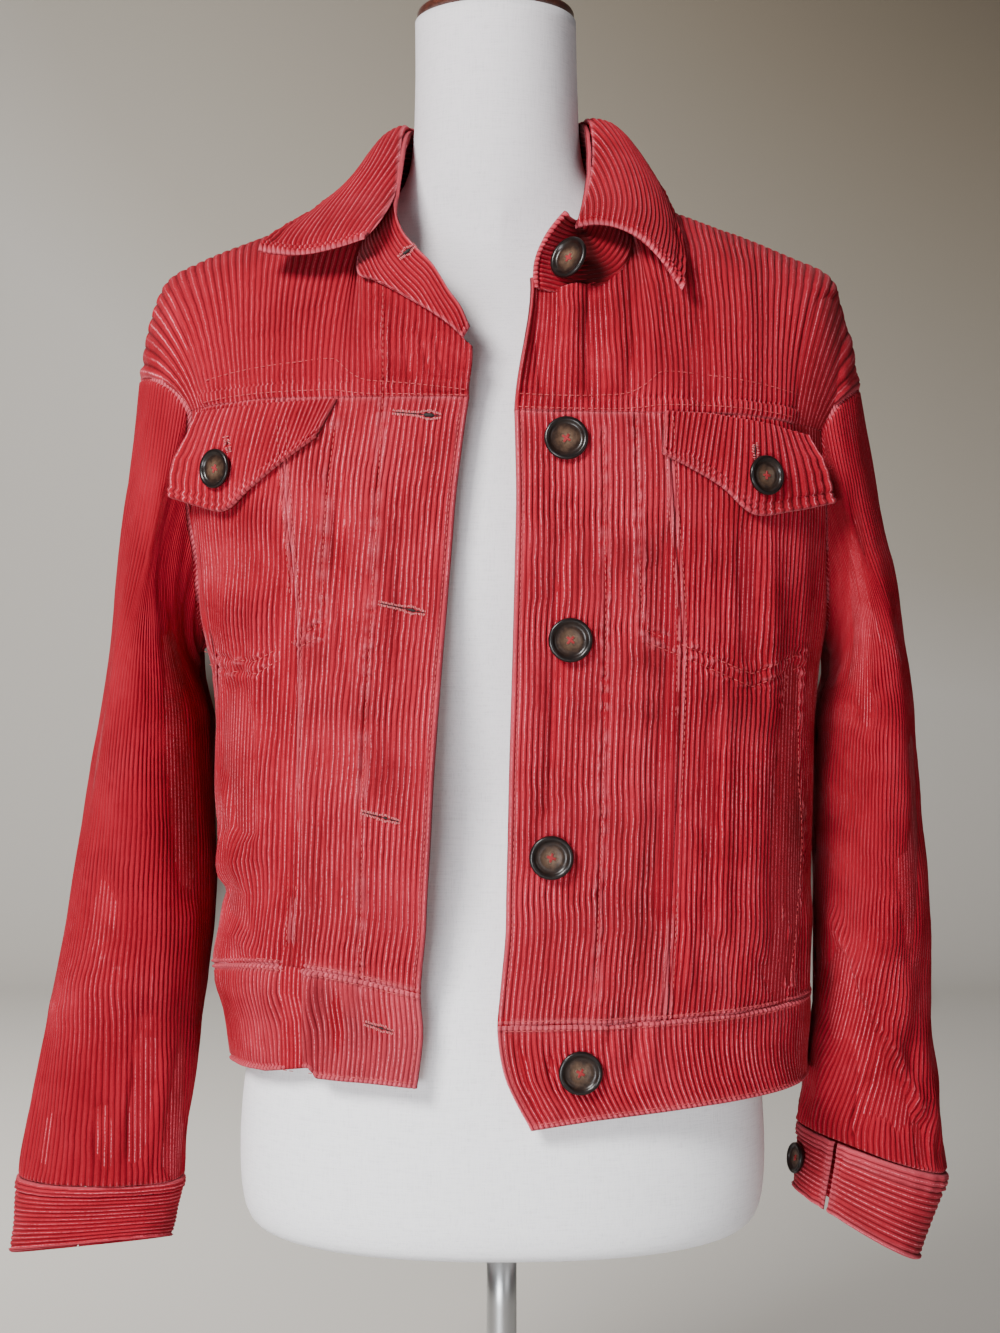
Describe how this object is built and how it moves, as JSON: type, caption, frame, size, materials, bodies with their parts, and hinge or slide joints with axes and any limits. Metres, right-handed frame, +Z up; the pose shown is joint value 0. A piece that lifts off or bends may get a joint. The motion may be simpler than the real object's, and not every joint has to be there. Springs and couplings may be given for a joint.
{
  "type": "corduroy jacket on a limbless dress form with a stand",
  "caption": "Short corduroy jacket with collar, pocket flaps and waistband, worn open on a limbless dress form with a neck cap, pole and round base.",
  "frame": {"origin": "middle of the underside of the round base", "axes": "+Z up along the pole; -Y is the front of the jacket, which faces the viewer; +X is the wearer's left"},
  "size_m": [0.579, 0.3, 1.0585],
  "materials": {
    "corduroy": "coral red cotton corduroy, about 7 wales to the inch, worn pale along the ribs and seams",
    "horn": "dark marbled horn buttons with a raised rim and red thread",
    "canvas": "off-white linen canvas, matt",
    "wood": "dark red-brown turned wood, satin",
    "metal": "satin steel"
  },
  "bodies": {
    "root": {"front_yoke_right": "corduroy", "front_yoke_left": "corduroy", "front_centre_right": "corduroy", "front_centre_left": "corduroy", "front_side_right": "corduroy", "front_side_left": "corduroy", "back_yoke": "corduroy", "back_panel": "corduroy", "waistband": "corduroy", "collar_stand": "corduroy", "collar_leaf": "corduroy", "sleeve_right": "corduroy", "sleeve_left": "corduroy", "cuff_right": "corduroy", "cuff_left": "corduroy", "flap_right": "corduroy", "flap_left": "corduroy", "button_stand": "horn", "button_front_1": "horn", "button_front_2": "horn", "button_front_3": "horn", "button_waistband": "horn", "button_flap_right": "horn", "button_flap_left": "horn", "button_cuff_right": "horn", "button_cuff_left": "horn", "form_torso": "canvas", "neck_cap": "wood", "pole": "metal", "base": "metal"}
  },
  "joints": []
}
